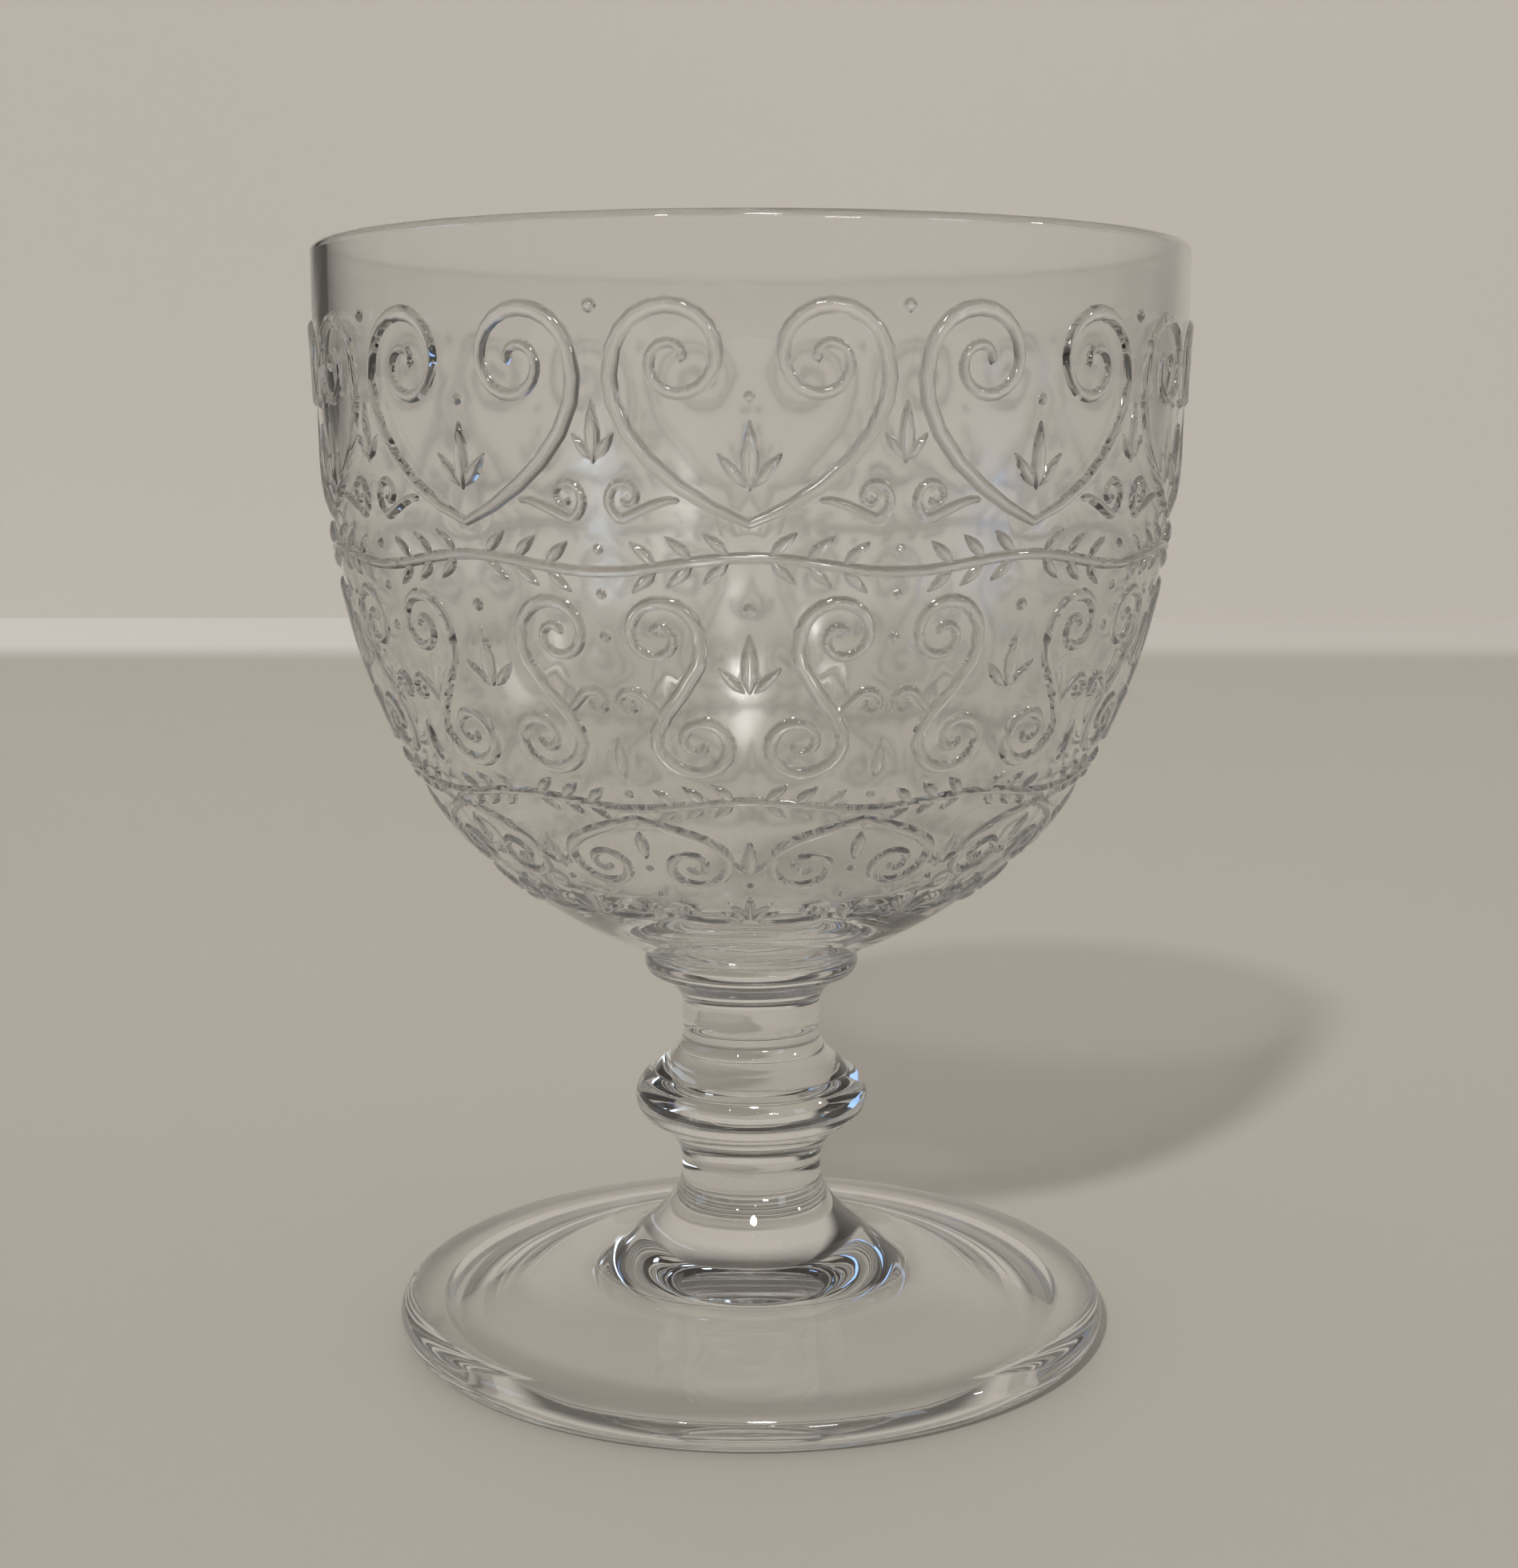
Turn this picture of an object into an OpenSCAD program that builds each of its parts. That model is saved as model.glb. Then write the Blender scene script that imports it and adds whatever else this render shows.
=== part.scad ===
// Cordial glass: a deep round bowl on a collar, a short stem with a ring knop, and a round foot.
// Six gathers of glass stand one on the other along Z, each seated on the flat top of the one below.

/* [Bowl] */
// Outer diameter of the rim
rim_d = 62; // [52:0.5:74]
// Height of the bowl above its collar
bowl_h = 50.8; // [42:0.1:62]
// Thickness of the wall at the rim
rim_wall = 1.2; // [0.8:0.1:2]
// Thickness of the glass under the middle of the bowl
base_wall = 2.5; // [1.5:0.1:4.5]

/* [Collar] */
// Outer diameter of the collar under the bowl
collar_d = 15.8; // [14.5:0.1:20]
// Height of the collar
collar_h = 1.8; // [1.8:0.05:4]
// Rounding of the collar's upper edge
collar_top_round = 0.6; // [0.3:0.05:0.65]
// Rounding of the collar's lower edge
collar_under_round = 1.05; // [0.3:0.05:1.15]

/* [Upper stem] */
// Height of the neck between the collar and the ring
upper_stem_h = 6.45; // [4.8:0.1:14]
// Diameter of that neck at its waist
upper_waist_d = 10.2; // [8:0.1:12.6]
// Height over which the neck spreads to the piece above it, and to the one below
upper_flare_h = 2.2; // [1:0.05:2.4]

/* [Ring knop] */
// Outer diameter of the ring
ring_d = 17.3; // [16:0.1:24]
// Height of the ring between its two seats
ring_h = 5.5; // [4.6:0.05:8]
// Radius of the ring's rounded edge
ring_round = 2.05; // [1.2:0.05:2.4]
// Diameter of the ring's upper seat
ring_top_d = 13; // [12:0.1:14]
// Diameter of the ring's lower seat
ring_under_d = 12.4; // [12:0.1:14]

/* [Lower stem] */
// Height of the neck between the ring and the foot
lower_stem_h = 4.95; // [4.8:0.05:14]
// Diameter of that neck at its waist
lower_waist_d = 10.4; // [8:0.1:11.4]
// Height over which the neck spreads to the piece above it, and to the one below
lower_flare_h = 2.2; // [1:0.05:2.4]

/* [Foot] */
// Outer diameter of the foot
foot_d = 52.7; // [44:0.1:64]
// Height of the foot up to its seat under the stem
foot_h = 9.65; // [7:0.05:16]
// Diameter of that seat
foot_seat_d = 11.8; // [11.5:0.1:15]
// Thickness of the foot at its rounded edge
foot_edge_h = 3; // [2:0.1:5]
// Fall of the foot's top towards its edge, in degrees
foot_fall = 7; // [2:0.5:14]
// Width of the flat ring that the foot rests on
rest_w = 2; // [1:0.1:4]
// Depth of the hollow underside
sole_hollow = 4; // [1:0.1:4.4]

/* [Hidden] */
$fn = 120;

glass_colour = [0.84, 0.86, 0.85];

// How many straight steps stand for a long curve, and for a short one
long_steps = 30;
short_steps = 10;

// Radii
rim_r = rim_d / 2;
collar_r = collar_d / 2;
collar_seat_r = collar_r - collar_top_round;
collar_under_r = collar_r - collar_under_round;
upper_waist_r = upper_waist_d / 2;
ring_r = ring_d / 2;
ring_top_r = ring_top_d / 2;
ring_under_r = ring_under_d / 2;
lower_waist_r = lower_waist_d / 2;
foot_r = foot_d / 2;
foot_seat_r = foot_seat_d / 2;

// Heights at which the pieces are seated
lower_stem_z = foot_h;
ring_z = lower_stem_z + lower_stem_h;
upper_stem_z = ring_z + ring_h;
collar_z = upper_stem_z + upper_stem_h;
bowl_z = collar_z + collar_h;

// The outside of the bowl is one cubic curve from the collar to the rim, steered by two points.
// Each point is a share of the rim's radius and a share of the bowl's height.
bowl_belly_shares = [0.852, 0.149];
bowl_side_shares = [1, 0.471];

// The inside is another, from the middle of the floor, in shares of its own radius and depth.
inside_floor_share = 0.716;
inside_side_shares = [1.01, 0.368];

// The foot's top is steered near the stem by shares of its radius and height, and near the edge
// by a share of its radius along the slope of its fall.
foot_rise_shares = [0.09, 0.6];
foot_fall_share = 0.486;

// How flat the hollow underside is in its middle: 2 is an even dish, and more is flatter
sole_power = 2.8;

// Half of the angle that the ring's rounded edge turns through, in degrees
ring_turn = 70;

// Points of a cubic curve from a to d that leaves towards b and arrives from c
function cubic(a, b, c, d, steps) = [
    for (i = [0:steps])
        let (t = i / steps, s = 1 - t)
        s * s * s * a + 3 * s * s * t * b + 3 * s * t * t * c + t * t * t * d
];

// Points of an arc about a centre, from one angle to another
function arc(centre, r, from, to, steps) = [
    for (i = [0:steps])
        let (turn = from + (to - from) * i / steps)
        centre + r * [cos(turn), sin(turn)]
];

// A drawn neck from z = 0 up to h: upright at its waist, spreading in a curve to each end
function neck_side(low_r, waist_r, top_r, h, flare_h) = concat(
    [
        for (i = [0:short_steps])
            let (u = 1 - i / short_steps)
            [waist_r + (low_r - waist_r) * u * u, flare_h * (1 - u)]
    ],
    [
        for (i = [0:short_steps])
            let (u = i / short_steps)
            [waist_r + (top_r - waist_r) * u * u, h - flare_h * (1 - u)]
    ]
);

// A solid of revolution from the points of its side, closed along the axis
module turned(side, low_z, top_z) {
    rotate_extrude()
        polygon(concat([[0, low_z]], side, [[0, top_z]]));
}

// The foot: hollow underside, flat resting ring, round edge and a trumpet rise to the stem
module foot() {
    edge_r = foot_edge_h / 2;
    edge_centre = [foot_r - edge_r, edge_r];
    rest_r = edge_centre[0] - rest_w;
    edge = arc(edge_centre, edge_r, -90, 90 - foot_fall, short_steps);
    edge_top = edge[short_steps];
    sole = [
        for (i = [0:long_steps])
            let (r = rest_r * i / long_steps)
            [r, sole_hollow * (1 - pow(r / rest_r, sole_power))]
    ];
    top = cubic(
        edge_top,
        edge_top + foot_fall_share * foot_r * [-cos(foot_fall), sin(foot_fall)],
        [foot_seat_r + foot_rise_shares[0] * foot_r, foot_rise_shares[1] * foot_h],
        [foot_seat_r, foot_h],
        long_steps
    );
    color(glass_colour)
        rotate_extrude()
            polygon(concat(sole, edge, [for (i = [1:long_steps]) top[i]], [[0, foot_h]]));
}

// The neck between the foot and the ring
module lower_stem() {
    color(glass_colour)
        translate([0, 0, lower_stem_z])
            turned(
                neck_side(foot_seat_r, lower_waist_r, ring_under_r, lower_stem_h, lower_flare_h),
                0, lower_stem_h
            );
}

// The ring: two flat seats and a rounded edge that stands out half way up
module ring_knop() {
    edge_r = min(ring_round, ring_h / 2);
    edge = arc([ring_r - edge_r, ring_h / 2], edge_r, -ring_turn, ring_turn, 2 * short_steps);
    color(glass_colour)
        translate([0, 0, ring_z])
            turned(concat([[ring_under_r, 0]], edge, [[ring_top_r, ring_h]]), 0, ring_h);
}

// The neck between the ring and the collar
module upper_stem() {
    color(glass_colour)
        translate([0, 0, upper_stem_z])
            turned(
                neck_side(ring_top_r, upper_waist_r, collar_under_r, upper_stem_h, upper_flare_h),
                0, upper_stem_h
            );
}

// The collar: a disc with a small rounding above and a larger one below
module bowl_collar() {
    edge = concat(
        arc([collar_under_r, collar_under_round], collar_under_round, -90, 0, short_steps),
        arc([collar_seat_r, collar_h - collar_top_round], collar_top_round, 0, 90, short_steps)
    );
    color(glass_colour)
        translate([0, 0, collar_z])
            turned(edge, 0, collar_h);
}

// The bowl: one curve outside, one inside, and a round lip between them
module bowl() {
    lip_r = rim_wall / 2;
    lip_z = bowl_h - lip_r;
    inner_r = rim_r - rim_wall;
    inner_h = lip_z - base_wall;
    outside = cubic(
        [collar_seat_r, 0],
        [bowl_belly_shares[0] * rim_r, bowl_belly_shares[1] * bowl_h],
        [bowl_side_shares[0] * rim_r, bowl_side_shares[1] * bowl_h],
        [rim_r, lip_z],
        long_steps
    );
    inside = cubic(
        [inner_r, lip_z],
        [inside_side_shares[0] * inner_r, base_wall + inside_side_shares[1] * inner_h],
        [inside_floor_share * inner_r, base_wall],
        [0, base_wall],
        long_steps
    );
    lip = arc([rim_r - lip_r, lip_z], lip_r, 0, 180, short_steps);
    color(glass_colour)
        translate([0, 0, bowl_z])
            rotate_extrude()
                polygon(concat(
                    [[0, 0]],
                    outside,
                    [for (i = [1:short_steps - 1]) lip[i]],
                    inside
                ));
}

foot();
lower_stem();
ring_knop();
upper_stem();
bowl_collar();
bowl();
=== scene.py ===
"""Cordial glass: the looks of its six fused pieces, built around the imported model.

The bowl's raised scrolls are laid out flat, as a band of hearts, lyres, garlands and fans, and then
wrapped on the bowl. Every piece of glass is a closed body that meets its neighbours face to face.
"""

import math

import bpy
import numpy as np
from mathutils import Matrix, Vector
from mathutils.geometry import delaunay_2d_cdt


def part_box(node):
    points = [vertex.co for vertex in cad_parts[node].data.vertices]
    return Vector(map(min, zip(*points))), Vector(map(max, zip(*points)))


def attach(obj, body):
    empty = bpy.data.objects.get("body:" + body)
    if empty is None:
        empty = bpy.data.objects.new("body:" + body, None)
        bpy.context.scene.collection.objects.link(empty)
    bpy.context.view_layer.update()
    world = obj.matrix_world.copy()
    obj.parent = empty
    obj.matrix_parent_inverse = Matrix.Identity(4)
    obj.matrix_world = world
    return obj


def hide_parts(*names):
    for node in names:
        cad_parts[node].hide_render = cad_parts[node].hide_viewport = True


bl_info = {
    "name": "Cordial Glass",
    "version": (1, 0, 0),
    "blender": (4, 5, 0),
    "location": "View3D > Sidebar > Cordial Glass",
    "description": "Builds a stemmed cordial glass with raised scrolls round its bowl",
    "category": "Add Mesh",
}

TURN = 2 * math.pi
MERGE = 1e-6

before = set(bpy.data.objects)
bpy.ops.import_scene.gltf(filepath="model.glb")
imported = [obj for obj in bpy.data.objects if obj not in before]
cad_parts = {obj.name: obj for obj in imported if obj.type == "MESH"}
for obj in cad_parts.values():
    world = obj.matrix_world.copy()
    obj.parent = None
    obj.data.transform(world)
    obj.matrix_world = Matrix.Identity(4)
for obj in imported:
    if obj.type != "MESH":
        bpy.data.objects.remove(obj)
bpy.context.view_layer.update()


def seat(node):
    """Height of the flat face that a piece stands on."""
    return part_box(node)[0].z


def top(node):
    """Height of the flat face on top of a piece."""
    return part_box(node)[1].z


def radius(node):
    """Widest radius of a piece."""
    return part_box(node)[1].y


# Settings


class BowlSizes(bpy.types.PropertyGroup):
    """Sizes of the bowl and its collar"""

    rim_radius: bpy.props.FloatProperty(
        name="Rim radius", description="Outer radius of the rim", default=radius("bowl"),
        unit="LENGTH",
    )
    rim_wall: bpy.props.FloatProperty(
        name="Rim wall", description="Thickness of the wall at the rim", default=0.0012,
        unit="LENGTH",
    )
    floor_wall: bpy.props.FloatProperty(
        name="Floor", description="Glass under the middle of the bowl", default=0.0025,
        unit="LENGTH",
    )
    belly: bpy.props.FloatVectorProperty(
        name="Belly", description="Lower steering point, in rim radii and bowl heights", size=2,
        default=(0.852, 0.149),
    )
    side: bpy.props.FloatVectorProperty(
        name="Side", description="Upper steering point, in rim radii and bowl heights", size=2,
        default=(1.0, 0.471),
    )
    inside_side: bpy.props.FloatVectorProperty(
        name="Inside", description="Steering point of the inside, in inner radii and depths",
        size=2, default=(1.01, 0.368),
    )
    inside_floor: bpy.props.FloatProperty(
        name="Inside floor", description="How wide the floor stays flat, in inner radii",
        default=0.716,
    )
    collar_round_top: bpy.props.FloatProperty(
        name="Collar top", description="Rounding of the collar's upper edge", default=0.0006,
        unit="LENGTH",
    )
    collar_round_under: bpy.props.FloatProperty(
        name="Collar under", description="Rounding of the collar's lower edge", default=0.00105,
        unit="LENGTH",
    )


class StemSizes(bpy.types.PropertyGroup):
    """Sizes of the two necks and the ring between them"""

    upper_waist: bpy.props.FloatProperty(
        name="Upper waist", description="Radius of the upper neck", default=0.0051, unit="LENGTH"
    )
    lower_waist: bpy.props.FloatProperty(
        name="Lower waist", description="Radius of the lower neck", default=0.0052, unit="LENGTH"
    )
    flare: bpy.props.FloatProperty(
        name="Flare", description="Height over which a neck spreads at each end", default=0.0022,
        unit="LENGTH",
    )
    ring_round: bpy.props.FloatProperty(
        name="Ring edge", description="Radius of the ring's rounded edge", default=0.00205,
        unit="LENGTH",
    )
    ring_turn: bpy.props.FloatProperty(
        name="Ring turn", description="Half the angle that the ring's edge turns through",
        default=math.radians(70), subtype="ANGLE",
    )
    ring_top: bpy.props.FloatProperty(
        name="Ring top", description="Radius of the ring's upper seat", default=0.0065,
        unit="LENGTH",
    )
    ring_under: bpy.props.FloatProperty(
        name="Ring under", description="Radius of the ring's lower seat", default=0.0062,
        unit="LENGTH",
    )


class FootSizes(bpy.types.PropertyGroup):
    """Sizes of the foot"""

    seat_radius: bpy.props.FloatProperty(
        name="Seat", description="Radius of the foot's seat under the stem", default=0.0059,
        unit="LENGTH",
    )
    edge: bpy.props.FloatProperty(
        name="Edge", description="Thickness of the foot at its edge", default=0.003, unit="LENGTH"
    )
    fall: bpy.props.FloatProperty(
        name="Fall", description="Fall of the foot's top at its edge", default=math.radians(7),
        subtype="ANGLE",
    )
    rise: bpy.props.FloatVectorProperty(
        name="Rise", description="Steering point by the stem, in foot radii and heights", size=2,
        default=(0.09, 0.6),
    )
    spread: bpy.props.FloatProperty(
        name="Spread", description="Reach of the slope from the edge, in foot radii", default=0.486
    )
    rest: bpy.props.FloatProperty(
        name="Resting ring", description="Width of the flat ring below", default=0.002,
        unit="LENGTH",
    )
    hollow: bpy.props.FloatProperty(
        name="Hollow", description="Depth of the hollow underside", default=0.004, unit="LENGTH"
    )
    hollow_power: bpy.props.FloatProperty(
        name="Hollow's flatness", description="2 is an even dish, and more is flatter inside",
        default=2.8,
    )


class ScrollSizes(bpy.types.PropertyGroup):
    """The raised band on the bowl"""

    units: bpy.props.IntProperty(
        name="Repeats", description="Hearts round the bowl", default=10, min=8, max=20
    )
    low: bpy.props.FloatProperty(
        name="Lower edge", description="Height where the band begins", default=0.0335, unit="LENGTH"
    )
    high: bpy.props.FloatProperty(
        name="Upper edge", description="Height where the band ends", default=0.0746, unit="LENGTH"
    )
    relief: bpy.props.FloatProperty(
        name="Relief", description="How far the scrolls stand up", default=0.00032, unit="LENGTH"
    )
    shoulder: bpy.props.FloatProperty(
        name="Shoulder", description="Width of a scroll's rounded side", default=0.00042,
        unit="LENGTH",
    )


class GlassLook(bpy.types.PropertyGroup):
    """Finish of the glass"""

    tint: bpy.props.FloatVectorProperty(
        name="Tint", description="Colour of the glass where it is thick", subtype="COLOR", size=3,
        default=(0.990, 0.986, 0.976),
    )
    pale: bpy.props.FloatVectorProperty(
        name="Pale", description="Colour of the glass where it is clear", subtype="COLOR", size=3,
        default=(1.0, 1.0, 1.0),
    )
    bend: bpy.props.FloatProperty(
        name="Index", description="Refractive index", default=1.5, min=1.3, max=1.9
    )
    passes: bpy.props.FloatProperty(
        name="Passes", description="Share of a lamp's light that passes a clear surface squarely",
        default=1.0,
    )
    passes_scrolls: bpy.props.FloatProperty(
        name="Passes scrolls", description="Share that passes a surface of the bowl squarely",
        default=0.81,
    )
    passes_edge: bpy.props.FloatProperty(
        name="Passes edge", description="Share that passes where the light grazes the surface",
        default=0.45,
    )
    # Painted shade: how light the glass is painted on a scroll's rounded side, in place of the dark
    # lines that bent light makes there
    scroll_side_shade: bpy.props.FloatProperty(
        name="Edge tone", description="How light the glass is on a scroll's rounded side",
        default=0.66,
    )
    far_blur: bpy.props.FloatProperty(
        name="Far blur", description="Roughness that softens the bowl's far side", default=0.11,
    )


class StageLook(bpy.types.PropertyGroup):
    """Table, wall, lamps and camera"""

    table: bpy.props.FloatVectorProperty(
        name="Table", description="Colour of the table", subtype="COLOR", size=3,
        default=(0.483, 0.453, 0.403),
    )
    wall: bpy.props.FloatVectorProperty(
        name="Wall", description="Colour of the wall", subtype="COLOR", size=3,
        default=(0.508, 0.478, 0.441),
    )
    # Painted light: the pale strip along the wall is a painted lit band, brighter on the left
    lit_strip_left: bpy.props.FloatVectorProperty(
        name="Strip, left", description="Colour of the pale strip by the wall", subtype="COLOR",
        size=3, default=(0.735, 0.730, 0.700),
    )
    lit_strip_right: bpy.props.FloatVectorProperty(
        name="Strip, right", description="Its colour where it is dimmer", subtype="COLOR", size=3,
        default=(0.640, 0.610, 0.575),
    )
    # Painted shade on the wall far to its sides and above, where the room is dark
    far_shade_tone: bpy.props.FloatProperty(
        name="Far tone", description="How much of the wall's colour is left far to the side",
        default=0.08,
    )
    wall_distance: bpy.props.FloatProperty(
        name="Wall distance", description="From the glass to the wall", default=0.737, unit="LENGTH"
    )
    camera_place: bpy.props.FloatVectorProperty(
        name="Camera", description="Where the camera stands", subtype="XYZ", size=3,
        default=(0.00058, -0.171603, 0.065224),
    )
    camera_pitch: bpy.props.FloatProperty(
        name="Pitch", description="How far the camera looks down", default=math.radians(8.145),
        subtype="ANGLE",
    )
    lens: bpy.props.FloatProperty(
        name="Lens", description="Focal length, in millimetres", default=53.98
    )


# Shader maths


class Wire:
    """One output in a material's nodes. Sums on it are written as plain Python."""

    def __init__(self, tree, socket=None):
        self.tree = tree
        self.socket = socket

    def node(self, kind, links=(), output=0, **settings):
        """Adds a node: its settings first, then what goes into its sockets."""
        node = self.tree.nodes.new(kind)
        for name, value in settings.items():
            setattr(node, name, value)
        for name, value in dict(links).items():
            if isinstance(value, Wire):
                self.tree.links.new(value.socket, node.inputs[name])
            else:
                node.inputs[name].default_value = value
        return Wire(self.tree, node.outputs[output])

    def maths(self, operation, *values):
        return self.node("ShaderNodeMath", dict(enumerate(values)), operation=operation)

    def __add__(self, other):
        return self.maths("ADD", self, other)

    def __sub__(self, other):
        return self.maths("SUBTRACT", self, other)

    def __rsub__(self, other):
        return self.maths("SUBTRACT", other, self)

    def __mul__(self, other):
        return self.maths("MULTIPLY", self, other)

    def __pow__(self, other):
        return self.maths("POWER", self, other)

    __radd__ = __add__
    __rmul__ = __mul__


def new_material(name):
    """An empty material, and a wire to build on."""
    material = bpy.data.materials.new(name)
    material.use_nodes = True
    material.node_tree.nodes.clear()
    return material, Wire(material.node_tree)


def finish_material(material, shader):
    output = material.node_tree.nodes.new("ShaderNodeOutputMaterial")
    material.node_tree.links.new(shader.socket, output.inputs["Surface"])
    return material


def own_place(wire):
    """Places in the piece's own coordinates, in metres."""
    return wire.node("ShaderNodeTexCoord", output="Object")


def along(wire, axis):
    """How far a place stands along one of the piece's own axes, in metres."""
    return wire.node("ShaderNodeSeparateXYZ", {"Vector": own_place(wire)}, output=axis)


def noise(wire, scale, detail, place=None):
    """Noise in the piece's own coordinates, with its scale in waves a metre."""
    place = place or own_place(wire)
    return wire.node("ShaderNodeTexNoise", {"Vector": place, "Scale": scale, "Detail": detail})


def mix_colours(wire, share, first, second):
    return wire.node(
        "ShaderNodeMix", {0: share, 6: first, 7: second}, data_type="RGBA", output=2
    )


def smooth_step(wire, value, low, high):
    """Rises softly from 0 to 1 as a value passes from low to high."""
    return wire.node(
        "ShaderNodeMapRange",
        {"Value": value, "From Min": low, "From Max": high},
        interpolation_type="SMOOTHSTEP",
    )


# Waves a metre: slow and turned ones from the making, fine ones from the polish, and etched pits
SLOW_WAVES = 70.0
TURNED_WAVES = 420.0
FINE_WAVES = 900.0
PITS = 2600.0

WAVE_STRENGTH = 0.25
WAVE_DEPTH = 0.0004
ROUND_ABOUT = (0.22, 0.22, 1.0)  # draws the turned waves out round the axis
POLISH = 0.004  # roughness of the smoothest glass
FINE_ROUGHNESS = 0.01
PIT_ROUGHNESS = 0.006
SCROLL_ROUGHNESS = 0.09

EDGE_SHADE = 0.75  # how much more shade the foot's thick edge casts
EDGE_SHADE_STARTS = 0.003  # both in metres, inwards from the foot's outline
EDGE_SHADE_FULL = 0.001
SCROLL_SHADE = 0.35  # how much more shade a scroll's rounded side casts

CRITICAL_FACING = 0.254  # past this, light inside the glass is mirrored and doesn't leave it


def glass_shader(wire, colour, roughness, normal, passes, more_shade):
    """Glass that bends what is seen through it, and lets a share of the light past it."""
    look = bpy.context.scene.glass_look
    body = wire.node(
        "ShaderNodeBsdfPrincipled",
        {
            "Base Color": colour,
            "Roughness": roughness,
            "IOR": look.bend,
            "Transmission Weight": 1.0,
            "Normal": normal,
        },
    )
    facing = wire.node("ShaderNodeLayerWeight", {"Blend": 0.5}, output="Facing")
    grazing = facing**4 + more_shade
    shades = [
        wire.node("ShaderNodeBsdfTransparent", {"Color": (share, share, share, 1)})
        for share in (passes, look.passes_edge)
    ]
    shade = wire.node("ShaderNodeMixShader", {0: grazing, 1: shades[0], 2: shades[1]})
    shadow = wire.node("ShaderNodeLightPath", output="Is Shadow Ray")
    scattered = wire.node("ShaderNodeLightPath", output="Is Diffuse Ray")
    lighting = wire.maths("MAXIMUM", shadow, scattered)
    return wire.node("ShaderNodeMixShader", {0: lighting, 1: body, 2: shade})


def wavy(wire, height):
    """The faint unevenness of hand-worked glass."""
    return wire.node(
        "ShaderNodeBump", {"Strength": WAVE_STRENGTH, "Distance": WAVE_DEPTH, "Height": height}
    )


def polished_glass(name, shade_on=None):
    """Fire-polished glass, faintly wavy. It can cast more shade where a function says so."""
    look = bpy.context.scene.glass_look
    material, wire = new_material(name)
    slow = noise(wire, SLOW_WAVES, 1.0)
    fine = noise(wire, FINE_WAVES, 2.0)
    colour = mix_colours(wire, slow, (*look.tint, 1), (*look.pale, 1))
    stretched = wire.node("ShaderNodeMapping", {"Vector": own_place(wire), "Scale": ROUND_ABOUT})
    turned = noise(wire, TURNED_WAVES, 2.0, stretched)
    wave = wavy(wire, slow + turned * 0.22 + fine * 0.004)
    roughness = POLISH + fine * FINE_ROUGHNESS
    more_shade = shade_on(wire) if shade_on else 0.0
    shader = glass_shader(wire, colour, roughness, wave, look.passes, more_shade)
    return finish_material(material, shader)


def thick_edge(wire):
    """More shade under the foot's thick round edge, which turns the light aside."""
    x, y = along(wire, "X"), along(wire, "Y")
    starts, full = radius("foot") - EDGE_SHADE_STARTS, radius("foot") - EDGE_SHADE_FULL
    return smooth_step(wire, (x * x + y * y) ** 0.5, starts, full) * EDGE_SHADE


def edged_glass(name):
    """The foot's glass: polished, with more shade under its thick edge."""
    return polished_glass(name, thick_edge)


def scroll_glass(name):
    """The bowl's glass: softer on its scrolls, painted darker on their sides, rougher at its far
    wall.
    """
    look = bpy.context.scene.glass_look
    material, wire = new_material(name)
    relief = wire.node("ShaderNodeAttribute", attribute_name="relief", output="Fac")
    slow = noise(wire, SLOW_WAVES, 1.0)
    pits = noise(wire, PITS, 2.0)
    edge = relief * (1 - relief) * 4
    clear = mix_colours(wire, slow, (*look.tint, 1), (*look.pale, 1))
    # Painted shade: the scrolls' rounded sides are painted darker, in place of the dark lines that
    # bent light makes there
    colour = mix_colours(wire, edge**2, clear, (*(c * look.scroll_side_shade for c in look.tint), 1))
    passed = wire.node("ShaderNodeLightPath", output="Transmission Depth")
    beyond = wire.maths("GREATER_THAN", passed, 0.5)
    facing = wire.node("ShaderNodeLayerWeight", {"Blend": 0.5}, output="Facing")
    leaving = wire.maths("LESS_THAN", facing, CRITICAL_FACING)
    etched = pits * (PIT_ROUGHNESS + relief * SCROLL_ROUGHNESS)
    roughness = POLISH + etched + beyond * leaving * look.far_blur
    wave = wavy(wire, slow + pits * relief * 0.02)
    shader = glass_shader(wire, colour, roughness, wave, look.passes_scrolls, edge * SCROLL_SHADE)
    return finish_material(material, shader)


def fused_joint(name):
    """Where two pieces are fused there is no surface to see."""
    material, wire = new_material(name)
    return finish_material(
        material, wire.node("ShaderNodeBsdfTransparent", {"Color": (1, 1, 1, 1)})
    )


def shared_material(maker):
    """The material that a maker makes, made once and named after it."""
    return bpy.data.materials.get(maker.__name__) or maker(maker.__name__)


# Profiles, as rows of (radius, height)


def curve(start, first, second, end, steps):
    """Points of the cubic curve that leaves start towards first, and reaches end from second."""
    share = np.linspace(0, 1, steps + 1)[:, None]
    rest = 1 - share
    start, first, second, end = (np.array(p, float) for p in (start, first, second, end))
    return (
        rest**3 * start
        + 3 * rest**2 * share * first
        + 3 * rest * share**2 * second
        + share**3 * end
    )


def arc(centre, size, begin, finish, steps):
    """Points of an arc about a centre, between two angles in degrees."""
    angle = np.radians(np.linspace(begin, finish, steps + 1))
    return np.array(centre) + size * np.stack([np.cos(angle), np.sin(angle)], 1)


def neck(low, waist, high, bottom, height, flare, steps=16):
    """Side of a drawn neck: upright at its waist, spreading in a curve to each end."""
    share = np.linspace(1, 0, steps + 1)
    lower = np.stack([waist + (low - waist) * share**2, bottom + flare * (1 - share)], 1)
    share = np.linspace(0, 1, steps + 1)
    upper = np.stack(
        [waist + (high - waist) * share**2, bottom + height - flare * (1 - share)], 1
    )
    return np.concatenate([lower, upper])


# Modelling


def only(piece):
    """Selects one piece and nothing else."""
    bpy.ops.object.select_all(action="DESELECT")
    piece.select_set(True)
    bpy.context.view_layer.objects.active = piece


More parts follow.
